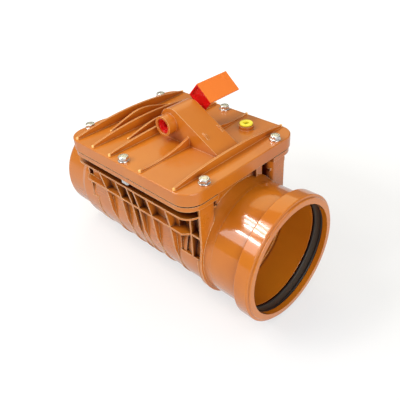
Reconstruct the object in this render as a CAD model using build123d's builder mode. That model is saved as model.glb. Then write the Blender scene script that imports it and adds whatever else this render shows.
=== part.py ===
from build123d import *
import os
from math import atan2, cos, degrees, hypot, radians, sin, sqrt, tan

# Backwater valve for a 160 mm drain pipe, in millimetres.
# Origin: centre of the socket's mouth. +X: out of the socket. +Z: up, through the lid.

os.makedirs("parts", exist_ok=True)

# Pipe connections
overall_length = 414.3
pipe_r = 80.0  # outer radius of the pipe and of the spigot
socket_bore_r = 80.6
socket_depth = 76.0
neck_length = 70.0  # mouth to the face where the socket is welded on
neck_r = 84.9
register_wall = 2.3
mouth_step = 2.2
edge_break = 0.8
weld_gap = 0.1
ring_r = 93.1  # thick end of the socket, around its seal
ring_length = 22.0
ring_ramp = 11.0
ring_round = 3.0
ring_front_chamfer = 5.2
mouth_r = 87.0
groove_r = 88.6
groove_front = 8.0
groove_back = 24.5
spigot_length = 46.0
spigot_wall = 4.0
spigot_chamfer = 5.0

# Body
barrel_r = 84.5
barrel_wall = 5.5
barrel_cone = 12.0
passage_r = 76.0
chamber_front_x = -90.0
chamber_step_x = -124.0
chamber_back_x = -325.0
back_plate_x = -331.5
chamber_wall = 4.0
chamber_corner_r = 27.0
front_half_width = 75.5
nose_half_width = 49.0
nose_corner_r = 5.0
hub_r = 89.0
hub_middle = (-83.5, 85.9)  # on the hollow curve down to the neck
hub_end_x = -76.0
hub_end_r = 84.4
front_face_x = -82.4
plate_thickness = 3.0
plate_half_width = 86.0
plate_disc_r = 89.5
column_inner_y = 55.0
column_back_x = -102.0
column_round = 9.0
column_foot_z = 15.0
gate_rib_y = 27.0
foot_half_width = 22.0
foot_length = 9.0
rear_foot_x = -345.0

# Flange, ledges and fins around the chamber
flange_top_z = 101.5
flange_thickness = 6.5
flange_gap_half_width = 56.0  # between the columns the flange stops at the nose wall
flange_inset = 1.4  # flange edge inside the lid's edge
upper_ledge_z = 81.5
upper_ledge_half_width = 103.2
lower_ledge_z = 45.5
lower_ledge_half_width = 94.4
ledge_thickness = 2.6
cell_floor_z = 5.5
cell_inner_y = 62.0
cell_wall = 3.5
fin_thickness = 2.6
fin_bottom_r = 86.2
fin_xs = (-274.8, -237.7, -213.0, -197.8, -170.4, -133.3)
corner_rib_x = -101.5
rear_fill_x = -318.0  # the rear corners outside the round chamber are filled above the slots
rear_slot_levels = ((5.5, 38.0), (46.0, 61.0))

# Lid
lid_length = 254.6
lid_front_x = -76.9
lid_overhang = 23.9  # the lid's side beyond the chamber's wall
lid_half_width = barrel_r + lid_overhang
lid_corner_r = 26.5
lid_top_z = 121.8
lid_skirt_z = 104.0
lid_plate = 4.0
lid_skirt_wall = 3.5
lid_edge_round = 1.6
gasket_width = 6.0
lid_opening_back_x = -309.0
lid_opening_front_x = -106.0
lid_opening_corner_r = 14.0
rib_thickness = 3.2
rib_half_length = 104.4
rib_end_height = 3.2
arch_ribs = ((-307.0, 14.0), (-269.0, 13.8), (-231.0, 11.2), (-104.0, 11.6))
hump_ribs = ((-288.6, 58.0, 15.0), (-249.5, 57.0, 11.6))
side_rib_x = -167.5
side_rib_top = 13.5
side_rib_middle = 6.4
side_rib_run = 24.0
lug_places = ((-148.0, -8.5), (-149.0, 20.5))
lug_length = 11.0
lug_height = 3.0
lug_thickness = 3.0

# Lid screws, M8 hexagon heads
screw_r = 4.0
screw_hole_r = 4.5
hex_across_flats = 13.0
screw_head_height = 5.3
washer_r = 8.0
washer_thickness = 1.6
nut_height = 6.5
screw_tip_z = 83.6
screw_boss_r = 9.0
side_screw_y = lid_half_width - 9.5
screw_places = (
    (-87.4, 69.5), (-87.4, -69.5), (-207.0, side_screw_y), (-207.0, -side_screw_y),
    (-323.0, 70.3), (-323.0, -70.3),
)
nut_places = [place for place in screw_places if abs(place[1]) > front_half_width]
corner_places = [place for place in screw_places if abs(place[1]) < front_half_width]

# Mechanism housing on the lid and the lever's shaft
housing_near_y = -17.0
housing_far_y = 24.0
housing_wall = 3.0
housing_r = 22.2
housing_slope = 28.5
shaft_x = -202.4
shaft_z = 145.7
housing_offset = 4.0  # housing's round top sits this far in front of the shaft
boss_r = 14.3
boss_near_y = -31.0
boss_far_y = 30.0
shaft_head_r = 11.0
shaft_dish_r = 8.2
shaft_dish_depth = 3.0
key_recess_r = 4.6
key_recess_depth = 6.0
ring_groove_places = (6.0, 10.5)  # behind the head's face
ring_groove_width = 2.0
ring_groove_depth = 1.6
seal_slack = 0.1
journal_r = 5.3
shaft_square = 10.6
lever_square = 7.4
running_clearance = 0.05
moving_clearance = 0.3

# Flap, hung from two stub pins in the housing
hinge_x = -139.0
hinge_z = 118.0
seat_lean = 8.0
flap_r = 77.5
flap_thickness = 6.0
flap_open_angle = 60.0
flap_seal_inner_r = 66.0
flap_seal_thickness = 3.0
clamp_inner_r = 60.0
clamp_outer_r = 71.0
clamp_thickness = 2.0
rivet_line_r = 63.5
rivet_count = 8
rivet_r = 2.0
rivet_head_r = 3.6
rivet_head_height = 1.2
seat_wall = 5.8
seat_gap = 0.2
hinge_pin_r = 4.0
knuckle_r = 7.0
hanger_thickness = 5.0
hanger_spacing = 22.0
hanger_half_width = 5.5
hanger_foot = 74.0
bridge_top = 46.0
bridge_thickness = 3.0
pad_width = 12.0
pad_depth = 6.0

# Lock arm on the shaft and lever outside
lock_turn = 34.0
arm_thickness = 10.0
arm_hub_r = 10.0
arm_bend_r = 4.5
arm_nose_r = 5.5
arm_bend = (-166.0, 104.0)  # place of the bend when locked
lock_reach = 78.0  # shaft to the nose
lock_angle = -60.3  # of the nose below +X when locked
pad_angles = (-56.0, -64.5)
lock_gap = 0.5
lever_radial_angle = 49.5
lever_reach = 37.6
lever_back = 21.7
lever_front = 11.4
lever_wall = 2.4
lever_floor = 12.0
lever_near_y = 31.0
lever_far_y = 90.5
lever_hub_r = 8.0
lever_hub_length = 12.0
lever_pin_r = 1.5

# Test plug
plug_x = -140.8
plug_y = 71.9
plug_boss_r = 10.8
plug_boss_height = 5.3
plug_cap_r = 9.5
plug_cap_height = 2.6
plug_shank_r = 6.8
plug_shank_length = 20.0
plug_gap = 0.4
plug_key_r = 4.4
plug_key_depth = 5.0
plug_groove_drop = 5.0
plug_groove_depth = 1.4
plug_groove_width = 2.0

# Places that follow from the sizes above
spigot_end_x = -overall_length
spigot_start_x = spigot_end_x + spigot_length
barrel_end_x = spigot_start_x + barrel_cone
barrel_bore_r = barrel_r - barrel_wall
lid_centre_x = lid_front_x - lid_length / 2
lid_back_x = lid_front_x - lid_length
housing_y = (housing_near_y + housing_far_y) / 2
foot_z = -ring_r
inner_half_width = barrel_r - chamber_wall
inner_back_x = chamber_back_x + chamber_wall + 1
lean = radians(seat_lean)
flap_down = Vector(-sin(lean), 0, -cos(lean))
flap_back = Vector(-cos(lean), 0, sin(lean))
flap_plane = Plane(
    origin=(hinge_x, 0, hinge_z), x_dir=(0, 1, 0), z_dir=flap_back
)
flap_centre = hinge_z / cos(lean)  # from the hinge down to the pipe's axis
seat_offset = flap_seal_thickness + moving_clearance


def side_plane(y):
    """Plane along the valve at this y, seen from the near side: x is X and y is Z."""
    return Plane.XZ.offset(-y)


def section_outline(half_width, bottom_r, top_z):
    """Round bottom about the pipe's axis with upright sides, as a closed face."""
    start_z = -sqrt(bottom_r**2 - half_width**2)
    with BuildSketch() as outline:
        with BuildLine():
            ThreePointArc((-half_width, start_z), (0, -bottom_r), (half_width, start_z))
            Polyline(
                (half_width, start_z),
                (half_width, top_z),
                (-half_width, top_z),
                (-half_width, start_z),
            )
        make_face()
    return outline.sketch


def square_plate(x_back, x_front, half_width):
    """Plain rectangle in plan between two X values."""
    with BuildSketch() as plan:
        with Locations(((x_back + x_front) / 2, 0)):
            Rectangle(x_front - x_back, 2 * half_width)
    return plan.sketch


def rounded_plate(x_back, x_front, half_width, corner_r):
    """Rounded rectangle in plan between two X values."""
    with BuildSketch() as plan:
        with Locations(((x_back + x_front) / 2, 0)):
            RectangleRounded(x_front - x_back, 2 * half_width, corner_r)
    return plan.sketch


# Body: spigot, barrel, chamber, flange, ledges, fins, front plate and feet
with BuildPart() as body:
    with BuildSketch(Plane.XZ):
        with BuildLine():
            Polyline(
                (spigot_end_x, 0),
                (spigot_end_x, pipe_r - spigot_chamfer / 2),
                (spigot_end_x + spigot_chamfer, pipe_r),
                (spigot_start_x, pipe_r),
                (barrel_end_x, barrel_r),
                (chamber_front_x, barrel_r),
                (chamber_front_x, hub_r),
            )
            ThreePointArc((chamber_front_x, hub_r), hub_middle, (hub_end_x, hub_end_r))
            Polyline(
                (hub_end_x, hub_end_r), (-neck_length, hub_end_r), (-neck_length, 0), (spigot_end_x, 0)
            )
        make_face()
    revolve(axis=Axis.X)

    # hollows of the front corner cells, down to the wall of the passage
    passage_step_x = chamber_step_x + chamber_wall + cell_wall
    for x_back, x_front, wall_r in (
        (chamber_step_x, passage_step_x, barrel_bore_r + cell_wall),
        (passage_step_x, front_face_x - plate_thickness, passage_r + cell_wall),
    ):
        with BuildSketch(Plane.YZ.offset(x_back)):
            with Locations((0, cell_floor_z + hub_r / 2)):
                Rectangle(2 * hub_r + 2, hub_r)
                Rectangle(2 * cell_inner_y, hub_r, mode=Mode.SUBTRACT)
            Circle(wall_r, mode=Mode.SUBTRACT)
        extrude(amount=x_front - x_back, mode=Mode.SUBTRACT)

    # chamber walls, with narrower ends behind the corner cells
    with BuildSketch():
        add(rounded_plate(chamber_back_x, lid_centre_x, barrel_r, chamber_corner_r))
        add(square_plate(rear_fill_x, chamber_step_x, barrel_r))
        add(square_plate(lid_centre_x, column_back_x, front_half_width))
        add(rounded_plate(lid_centre_x, chamber_front_x, nose_half_width, nose_corner_r))
    extrude(amount=flange_top_z)

    # flange under the lid
    with BuildSketch(Plane.XY.offset(flange_top_z - flange_thickness)):
        add(rounded_plate(
            lid_back_x + flange_inset, lid_front_x - flange_inset,
            lid_half_width - flange_inset, lid_corner_r - flange_inset,
        ))
        add(
            square_plate(chamber_front_x, lid_front_x, flange_gap_half_width), mode=Mode.SUBTRACT
        )
    extrude(amount=flange_thickness)

    # upper ledge, a second thinner rim below the flange
    with BuildSketch(Plane.XY.offset(upper_ledge_z - ledge_thickness)):
        add(rounded_plate(
            back_plate_x, front_face_x - plate_thickness / 2, upper_ledge_half_width, lid_corner_r - 6
        ))
        add(square_plate(column_back_x, front_face_x, column_inner_y), mode=Mode.SUBTRACT)
    extrude(amount=ledge_thickness)

    # lower ledge, with a cut corner in front of the last fin
    with BuildSketch(Plane.XY.offset(lower_ledge_z - ledge_thickness)):
        with BuildLine():
            cut = lower_ledge_half_width - plate_half_width
            Polyline(
                (back_plate_x + 1, 0),
                (back_plate_x + 1, lower_ledge_half_width - 8),
                (back_plate_x + 11, lower_ledge_half_width),
                (corner_rib_x - cut, lower_ledge_half_width),
                (corner_rib_x, plate_half_width),
                (front_face_x - 1, plate_half_width),
                (front_face_x - 1, 0),
                close=True,
            )
        make_face()
        mirror(about=Plane.XZ)
    extrude(amount=ledge_thickness)

    # fins, from the upper ledge down the side and round the bottom
    for fin_x in fin_xs:
        with BuildSketch(Plane.YZ.offset(fin_x - fin_thickness / 2)):
            with BuildLine():
                top_y = upper_ledge_half_width - 2.4
                ledge_y = lower_ledge_half_width - 0.6
                low_y = barrel_r + 5.2
                low_z = -fin_bottom_r * sin(radians(26))
                tangent_y = fin_bottom_r * cos(radians(26))
                Polyline((-tangent_y, low_z), (-low_y, 3), (-ledge_y, lower_ledge_z),
                         (-top_y, upper_ledge_z), (top_y, upper_ledge_z),
                         (ledge_y, lower_ledge_z), (low_y, 3), (tangent_y, low_z))
                ThreePointArc((tangent_y, low_z), (0, -fin_bottom_r), (-tangent_y, low_z))
            make_face()
        extrude(amount=fin_thickness)

    # corner cells: floor, dividing rib and the plates that close them
    for x_back, x_front in (
        (chamber_step_x - 2, front_face_x - 1),
        (back_plate_x, rear_fill_x),
    ):
        with BuildSketch(Plane.YZ.offset(x_back)):
            add(section_outline(barrel_r + 0.9, barrel_r + 0.9, cell_floor_z))
        extrude(amount=x_front - x_back)
    with BuildSketch(Plane.YZ.offset(corner_rib_x - fin_thickness / 2)):
        with Locations((0, (cell_floor_z + upper_ledge_z) / 2)):
            Rectangle(2 * plate_half_width, upper_ledge_z - cell_floor_z)
    extrude(amount=fin_thickness)
    with BuildSketch(Plane.YZ.offset(back_plate_x)):
        with Locations((0, flange_top_z / 2)):
            Rectangle(2 * barrel_r, flange_top_z)
    extrude(amount=plate_thickness)
    for bottom_z, top_z in (
        (rear_slot_levels[0][1], rear_slot_levels[1][0]), (rear_slot_levels[1][1], flange_top_z)
    ):
        with BuildSketch(Plane.XY.offset(bottom_z)):
            add(square_plate(back_plate_x, rear_fill_x, barrel_r))
        extrude(amount=top_z - bottom_z)

    # front plate round the socket's hub, and the two screw columns
    with BuildSketch(Plane.YZ.offset(front_face_x - plate_thickness)):
        add(section_outline(plate_half_width, plate_disc_r, flange_top_z))
        Circle(plate_disc_r)
        with Locations((0, flange_top_z)):
            Rectangle(2 * (column_inner_y + column_round), 2 * flange_top_z, mode=Mode.SUBTRACT)
    extrude(amount=plate_thickness)
    with BuildSketch(Plane.XY.offset(column_foot_z)):
        with BuildLine():
            Polyline(
                (front_face_x - column_round, column_inner_y),
                (column_back_x, column_inner_y),
                (column_back_x, front_half_width),
                (front_face_x, front_half_width),
                (front_face_x, column_inner_y + column_round),
            )
            RadiusArc(
                (front_face_x, column_inner_y + column_round),
                (front_face_x - column_round, column_inner_y),
                column_round,
            )
        make_face()
        mirror(about=Plane.XZ)
    extrude(amount=flange_top_z - column_foot_z)
    with BuildSketch(Plane.XY.offset(barrel_r)):
        with Locations((chamber_front_x + 2, gate_rib_y)):
            Rectangle(8, fin_thickness)
    extrude(amount=flange_top_z - barrel_r)

    # feet, level with the socket's thick ring
    for foot_x in (front_face_x - foot_length / 2, rear_foot_x):
        with BuildSketch(Plane.XY.offset(foot_z)):
            with Locations((foot_x, 0)):
                Rectangle(foot_length, 2 * foot_half_width)
        extrude(amount=ring_r - passage_r)

    # bore of the spigot and the barrel, passage, and socket's register
    with BuildSketch(Plane.XZ):
        with BuildLine():
            Polyline(
                (spigot_end_x, 0),
                (spigot_end_x, pipe_r - spigot_wall),
                (spigot_start_x, pipe_r - spigot_wall),
                (barrel_end_x, barrel_bore_r),
                (chamber_step_x + chamber_wall, barrel_bore_r),
                (chamber_step_x + chamber_wall, passage_r),
                (-socket_depth, passage_r),
                (-socket_depth, socket_bore_r + register_wall + weld_gap),
                (-neck_length, socket_bore_r + register_wall + weld_gap),
                (-neck_length, 0),
                close=True,
            )
        make_face()
    revolve(axis=Axis.X, mode=Mode.SUBTRACT)

    # chamber cavity, open at the top
    with BuildSketch():
        add(rounded_plate(
            inner_back_x, lid_centre_x, inner_half_width, chamber_corner_r - chamber_wall + 1
        ))
        add(square_plate(
            rear_fill_x + chamber_wall, chamber_step_x - chamber_wall, inner_half_width
        ))
    extrude(amount=flange_top_z - flange_thickness, mode=Mode.SUBTRACT)
    with BuildSketch(Plane.XY.offset(flange_top_z)):
        add(rounded_plate(
            lid_opening_back_x, lid_opening_front_x,
            front_half_width - chamber_wall, lid_opening_corner_r - chamber_wall,
        ))
        add(rounded_plate(
            lid_opening_back_x, chamber_step_x - chamber_wall, inner_half_width, lid_opening_corner_r
        ))
    extrude(amount=-flange_thickness, mode=Mode.SUBTRACT)
    with BuildSketch(Plane.XY.offset(barrel_r)):
        add(square_plate(
            chamber_step_x - chamber_corner_r, lid_opening_front_x, front_half_width - chamber_wall
        ))
    extrude(amount=flange_top_z - flange_thickness - barrel_r, mode=Mode.SUBTRACT)

    # screw holes: clear through the flange in the middle, threaded in the corner columns
    with BuildSketch(Plane.XY.offset(flange_top_z)):
        with Locations(*nut_places):
            Circle(screw_hole_r)
    extrude(amount=-flange_thickness, mode=Mode.SUBTRACT)
    with BuildSketch(Plane.XY.offset(flange_top_z)):
        with Locations(*corner_places):
            Circle(screw_r)
    extrude(amount=screw_tip_z - flange_top_z, mode=Mode.SUBTRACT)
body.part.label = "body"

# Inlet socket: neck welded to the body, with the back half of the seal groove
with BuildPart() as inlet_socket:
    with BuildSketch(Plane.XZ):
        with BuildLine():
            Polyline(
                (-ring_length, groove_r),
                (-groove_back, groove_r),
                (-groove_back, socket_bore_r),
                (-socket_depth, socket_bore_r),
                (-socket_depth, socket_bore_r + register_wall),
                (-neck_length, socket_bore_r + register_wall),
                (-neck_length, neck_r),
                (-ring_length - ring_ramp, neck_r),
                (-ring_length - ring_round, ring_r - ring_round / 2),
            )
            TangentArc(
                (-ring_length - ring_round, ring_r - ring_round / 2),
                (-ring_length, ring_r),
                tangent=(1, 0),
                tangent_from_first=False,
            )
            Line((-ring_length, ring_r), (-ring_length, groove_r))
        make_face()
    revolve(axis=Axis.X)
inlet_socket.part.label = "inlet_socket"

# Collar that closes the seal groove at the mouth
with BuildPart() as socket_collar:
    with BuildSketch(Plane.XZ):
        with BuildLine():
            Polyline(
                (-ring_length, groove_r),
                (-groove_front, groove_r),
                (-groove_front, socket_bore_r),
                (0, socket_bore_r),
                (0, mouth_r),
                (-ring_front_chamfer / 2, mouth_r + mouth_step),
                (-ring_front_chamfer, ring_r - edge_break),
                (-ring_front_chamfer - edge_break, ring_r),
                (-ring_length, ring_r),
                close=True,
            )
        make_face()
    revolve(axis=Axis.X)
socket_collar.part.label = "socket_collar"

# Lip seal in the socket's groove
seal_relief = 0.3
with BuildPart() as socket_seal:
    with BuildSketch(Plane.XZ):
        with BuildLine():
            Polyline(
                (-groove_front - seal_relief, groove_r - seal_relief),
                (-groove_back + seal_relief, groove_r - seal_relief),
                (-groove_back + seal_relief, socket_bore_r + 2.4),
                (-groove_back + 5.0, socket_bore_r + seal_relief),
                (-groove_front - 3.5, socket_bore_r + seal_relief),
                (-groove_front - seal_relief, socket_bore_r + 1.6),
                close=True,
            )
        make_face()
    revolve(axis=Axis.X)
socket_seal.part.label = "socket_seal"

# Valve seat: tube pressed into the passage, its end cut to the flap's lean
seat_outer_r = barrel_bore_r - seat_gap
seat_inner_r = seat_outer_r - seat_wall
with BuildPart() as valve_seat:
    with BuildSketch(Plane.YZ.offset(chamber_step_x + chamber_wall - 0.1)):
        Circle(seat_outer_r)
        Circle(seat_inner_r, mode=Mode.SUBTRACT)
    extrude(amount=-2 * pipe_r)
    split(
        bisect_by=Plane(
            origin=Vector(hinge_x, 0, hinge_z) - flap_back * seat_offset,
            z_dir=flap_back * -1,
        ),
        keep=Keep.TOP,
    )
valve_seat.part.label = "valve_seat"


def housing_outline(shrink):
    """Side view of the housing on the lid, moved inwards by its wall."""
    centre_x = shaft_x + housing_offset
    radius = housing_r - shrink
    slope = radians(housing_slope)
    touch = (centre_x + radius * sin(slope), shaft_z + radius * cos(slope))
    mid_angle = radians((180 + 90 - housing_slope) / 2)
    base_z = lid_top_z - lid_plate
    tip_x = touch[0] + (touch[1] - base_z) / tan(slope)
    with BuildSketch() as outline:
        with BuildLine():
            Polyline((tip_x, base_z), (centre_x - radius, base_z), (centre_x - radius, shaft_z))
            ThreePointArc(
                (centre_x - radius, shaft_z),
                (centre_x + radius * cos(mid_angle), shaft_z + radius * sin(mid_angle)),
                touch,
            )
            Line(touch, (tip_x, base_z))
        make_face()
    return outline.sketch


# Lid: plate, skirt, sealing wall, screw bosses, ribs, mechanism housing and plug boss
with BuildPart() as lid:
    with BuildSketch(Plane.XY.offset(lid_skirt_z)):
        add(rounded_plate(lid_back_x, lid_front_x, lid_half_width, lid_corner_r))
    extrude(amount=lid_top_z - lid_skirt_z)
    fillet(lid.faces().sort_by(Axis.Z)[-1].edges(), radius=lid_edge_round)
    with BuildSketch(Plane.XY.offset(lid_skirt_z)):
        add(rounded_plate(
            lid_back_x + lid_skirt_wall, lid_front_x - lid_skirt_wall,
            lid_half_width - lid_skirt_wall, lid_corner_r - lid_skirt_wall,
        ))
        add(rounded_plate(
            lid_opening_back_x - gasket_width, lid_opening_front_x + gasket_width,
            inner_half_width + gasket_width, lid_opening_corner_r + gasket_width,
        ), mode=Mode.SUBTRACT)
        add(rounded_plate(
            lid_opening_back_x, lid_opening_front_x, inner_half_width, lid_opening_corner_r
        ))
    extrude(amount=lid_top_z - lid_plate - lid_skirt_z, mode=Mode.SUBTRACT)
    with BuildSketch(Plane.XY.offset(lid_skirt_z)):
        with Locations(*screw_places):
            Circle(screw_boss_r - 1)
    extrude(amount=lid_top_z - lid_plate / 2 - lid_skirt_z)

    # long ribs across the lid, arched towards the middle
    for rib_x, height in arch_ribs:
        with BuildSketch(Plane.YZ.offset(rib_x - rib_thickness / 2)):
            with BuildLine():
                Polyline(
                    (-rib_half_length, lid_top_z + rib_end_height),
                    (-rib_half_length, lid_top_z - 1),
                    (rib_half_length, lid_top_z - 1),
                    (rib_half_length, lid_top_z + rib_end_height),
                )
                ThreePointArc(
                    (rib_half_length, lid_top_z + rib_end_height),
                    (0, lid_top_z + height),
                    (-rib_half_length, lid_top_z + rib_end_height),
                )
            make_face()
        extrude(amount=rib_thickness)

    # short humps between them
    for rib_x, half_length, height in hump_ribs:
        with BuildSketch(Plane.YZ.offset(rib_x - rib_thickness / 2)):
            with BuildLine():
                Line((-half_length, lid_top_z - 1), (half_length, lid_top_z - 1))
                Line((half_length, lid_top_z - 1), (half_length, lid_top_z + 1.2))
                Spline(
                    (half_length, lid_top_z + 1.2),
                    (half_length * 0.45, lid_top_z + 0.72 * height),
                    (0, lid_top_z + height),
                    (-half_length * 0.45, lid_top_z + 0.72 * height),
                    (-half_length, lid_top_z + 1.2),
                )
                Line((-half_length, lid_top_z + 1.2), (-half_length, lid_top_z - 1))
            make_face()
        extrude(amount=rib_thickness)

    # ribs that climb to the housing's side walls
    for side, wall_y in ((-1, housing_near_y), (1, housing_far_y)):
        with BuildSketch(Plane.YZ.offset(side_rib_x - rib_thickness / 2)):
            with BuildLine():
                Polyline(
                    (side * rib_half_length, lid_top_z + rib_end_height),
                    (side * rib_half_length, lid_top_z - 1),
                    (wall_y, lid_top_z - 1),
                    (wall_y, lid_top_z + side_rib_top),
                )
                Spline(
                    (wall_y, lid_top_z + side_rib_top),
                    (wall_y + side * side_rib_run, lid_top_z + side_rib_middle),
                    (side * rib_half_length, lid_top_z + rib_end_height),
                )
            make_face()
        extrude(amount=rib_thickness)

    # housing and the shaft's two bosses
    with BuildSketch(side_plane(housing_near_y)):
        add(housing_outline(0))
    extrude(amount=housing_near_y - housing_far_y)
    with BuildSketch(side_plane(boss_near_y)):
        with Locations((shaft_x, shaft_z)):
            Circle(boss_r)
    extrude(amount=boss_near_y - boss_far_y)
    for lug_x, lug_y in lug_places:
        with BuildSketch(side_plane(lug_y - lug_thickness / 2)):
            with BuildLine():
                roof_z = shaft_z + housing_r / cos(radians(housing_slope)) - (
                    lug_x - shaft_x - housing_offset) * tan(radians(housing_slope))
                drop = lug_length * tan(radians(housing_slope))
                Polyline(
                    (lug_x, roof_z - 1),
                    (lug_x + lug_length, roof_z - drop - 1),
                    (lug_x + lug_length, roof_z - drop + 0.2),
                    (lug_x + lug_length / 2, roof_z - drop / 2 + lug_height),
                    (lug_x, roof_z + 0.2),
                    close=True,
                )
            make_face()
        extrude(amount=-lug_thickness)

    # test plug's boss
    with BuildSketch(Plane.XY.offset(lid_top_z - lid_plate)):
        with Locations((plug_x, plug_y)):
            Circle(plug_boss_r)
    extrude(amount=lid_plate + plug_boss_height)

    # inside of the housing
    with BuildSketch(side_plane(housing_near_y + housing_wall)):
        add(housing_outline(housing_wall))
    extrude(
        amount=housing_near_y - housing_far_y + 2 * housing_wall, mode=Mode.SUBTRACT
    )
    # two knuckle bosses for the flap's stub pins
    for wall_y, inward in ((housing_near_y + housing_wall, -1), (housing_far_y - housing_wall, 1)):
        with BuildSketch(side_plane(wall_y)):
            with Locations((hinge_x, hinge_z)):
                Circle(knuckle_r + 2)
        extrude(amount=-inward * housing_wall)
    # bores for the shaft, the pins, the screws and the plug
    with BuildSketch(side_plane(boss_near_y)):
        with Locations((shaft_x, shaft_z)):
            Circle(shaft_head_r + running_clearance)
    extrude(amount=boss_near_y - housing_near_y - housing_wall, mode=Mode.SUBTRACT)
    with BuildSketch(side_plane(boss_far_y)):
        with Locations((shaft_x, shaft_z)):
            Circle(journal_r + running_clearance)
    extrude(amount=boss_far_y - housing_far_y + 2 * housing_wall, mode=Mode.SUBTRACT)
    for wall_y, inward in ((housing_near_y + housing_wall, 1), (housing_far_y - housing_wall, -1)):
        with BuildSketch(side_plane(wall_y)):
            with Locations((hinge_x, hinge_z)):
                Circle(hinge_pin_r)
        extrude(amount=inward * (housing_wall - 1), mode=Mode.SUBTRACT)
    with BuildSketch(Plane.XY.offset(lid_top_z)):
        with Locations(*screw_places):
            Circle(screw_hole_r)
    extrude(amount=lid_skirt_z - lid_top_z, mode=Mode.SUBTRACT)
    with BuildSketch(Plane.XY.offset(lid_top_z + plug_boss_height)):
        with Locations((plug_x, plug_y)):
            Circle(plug_shank_r + moving_clearance)
    extrude(amount=-plug_boss_height - 2 * lid_plate, mode=Mode.SUBTRACT)
lid.part.label = "lid"

# Gasket between the body's flange and the lid's sealing wall
with BuildPart() as lid_gasket:
    with BuildSketch(Plane.XY.offset(flange_top_z)):
        add(rounded_plate(
            lid_opening_back_x - gasket_width, lid_opening_front_x + gasket_width,
            inner_half_width + gasket_width, lid_opening_corner_r + gasket_width,
        ))
        add(rounded_plate(
            lid_opening_back_x, lid_opening_front_x, inner_half_width, lid_opening_corner_r
        ), mode=Mode.SUBTRACT)
    extrude(amount=lid_skirt_z - flange_top_z)
lid_gasket.part.label = "lid_gasket"

# Lid screws, washers and nuts, one group of solids each
with BuildPart() as lid_screws:
    with BuildSketch(Plane.XY.offset(lid_top_z + washer_thickness)):
        with Locations(*screw_places):
            RegularPolygon(hex_across_flats / 2, 6, major_radius=False)
    extrude(amount=screw_head_height)
    chamfer(lid_screws.faces().group_by(Axis.Z)[-1].edges(), length=0.8)
    with BuildSketch(Plane.XY.offset(lid_top_z + washer_thickness)):
        with Locations(*screw_places):
            Circle(screw_r)
    extrude(amount=screw_tip_z + 1 - lid_top_z - washer_thickness)
lid_screws.part.label = "lid_screws"

with BuildPart() as lid_washers:
    with BuildSketch(Plane.XY.offset(lid_top_z)):
        with Locations(*screw_places):
            Circle(washer_r)
            Circle(screw_hole_r, mode=Mode.SUBTRACT)
    extrude(amount=washer_thickness)
lid_washers.part.label = "lid_washers"

with BuildPart() as lid_nuts:
    with BuildSketch(Plane.XY.offset(flange_top_z - flange_thickness)):
        with Locations(*nut_places):
            RegularPolygon(hex_across_flats / 2, 6, major_radius=False)
            Circle(screw_r, mode=Mode.SUBTRACT)
    extrude(amount=-nut_height)
lid_nuts.part.label = "lid_nuts"

# Flap, modelled in its own leaning plane: x across the pipe, y down the flap, z backwards
with BuildPart() as flap:
    with BuildSketch(flap_plane):
        with Locations((0, flap_centre)):
            Circle(flap_r)
            with PolarLocations(rivet_line_r, rivet_count, start_angle=22.5):
                Circle(rivet_r, mode=Mode.SUBTRACT)
    extrude(amount=flap_thickness)
flap.part.label = "flap"


def flap_point(down, back):
    """Point of the side view, from its distances down the flap and behind its face."""
    place = Vector(hinge_x, 0, hinge_z) + flap_down * down + flap_back * back
    return (place.X, place.Z)


def about_shaft(radius, angle):
    """Point of the side view at this distance and angle from the lever's shaft."""
    return (shaft_x + radius * cos(radians(angle)), shaft_z + radius * sin(radians(angle)))


# Hanger: two arms and a bridge on the flap's back, with the pad that the lock arm bears on
hanger_ys = (housing_y - hanger_spacing / 2, housing_y + hanger_spacing / 2)
flap_edge = flap_centre - flap_r
pad_radius = lock_reach + arm_nose_r + lock_gap
with BuildPart() as flap_hanger:
    for hanger_y in hanger_ys:
        with BuildSketch(side_plane(hanger_y - hanger_thickness / 2)):
            with Locations((hinge_x, hinge_z)):
                Circle(knuckle_r)
            with BuildLine():
                Polyline(
                    flap_point(0, hanger_half_width),
                    flap_point(0, -hanger_half_width),
                    flap_point(flap_edge - 2 * hanger_half_width, -hanger_half_width),
                    flap_point(flap_edge - 1, flap_thickness),
                    flap_point(hanger_foot, flap_thickness),
                    flap_point(hanger_foot, flap_thickness + bridge_thickness),
                    flap_point(flap_edge + 2 * hanger_half_width, 2 * hanger_half_width),
                    flap_point(flap_edge, 2 * hanger_half_width),
                    close=True,
                )
            make_face()
        extrude(amount=-hanger_thickness)
    with BuildSketch(flap_plane.offset(flap_thickness)):
        with Locations((housing_y, (bridge_top + hanger_foot) / 2)):
            Rectangle(hanger_spacing, hanger_foot - bridge_top)
    extrude(amount=bridge_thickness)
    with BuildSketch(side_plane(housing_y - pad_width / 2)):
        with BuildLine():
            ThreePointArc(
                about_shaft(pad_radius, pad_angles[0]),
                about_shaft(pad_radius, sum(pad_angles) / 2),
                about_shaft(pad_radius, pad_angles[1]),
            )
            Polyline(
                about_shaft(pad_radius, pad_angles[1]),
                about_shaft(pad_radius + pad_depth, pad_angles[1]),
                flap_point(hanger_foot - pad_depth, flap_thickness + bridge_thickness),
                flap_point(hanger_foot - pad_depth, flap_thickness + 1),
                flap_point(bridge_top, flap_thickness + 1),
                flap_point(bridge_top, flap_thickness + bridge_thickness),
                about_shaft(pad_radius, pad_angles[0]),
            )
        make_face()
    extrude(amount=-pad_width)
    for hanger_y in hanger_ys:
        with BuildSketch(side_plane(hanger_y - hanger_thickness)):
            with Locations((hinge_x, hinge_z)):
                Circle(hinge_pin_r + running_clearance)
        extrude(amount=-2 * hanger_thickness, mode=Mode.SUBTRACT)
flap_hanger.part.label = "flap_hanger"

with BuildPart() as flap_seal:
    with BuildSketch(flap_plane):
        with Locations((0, flap_centre)):
            Circle(flap_r)
            Circle(flap_seal_inner_r, mode=Mode.SUBTRACT)
    extrude(amount=-flap_seal_thickness)
flap_seal.part.label = "flap_seal"

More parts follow.
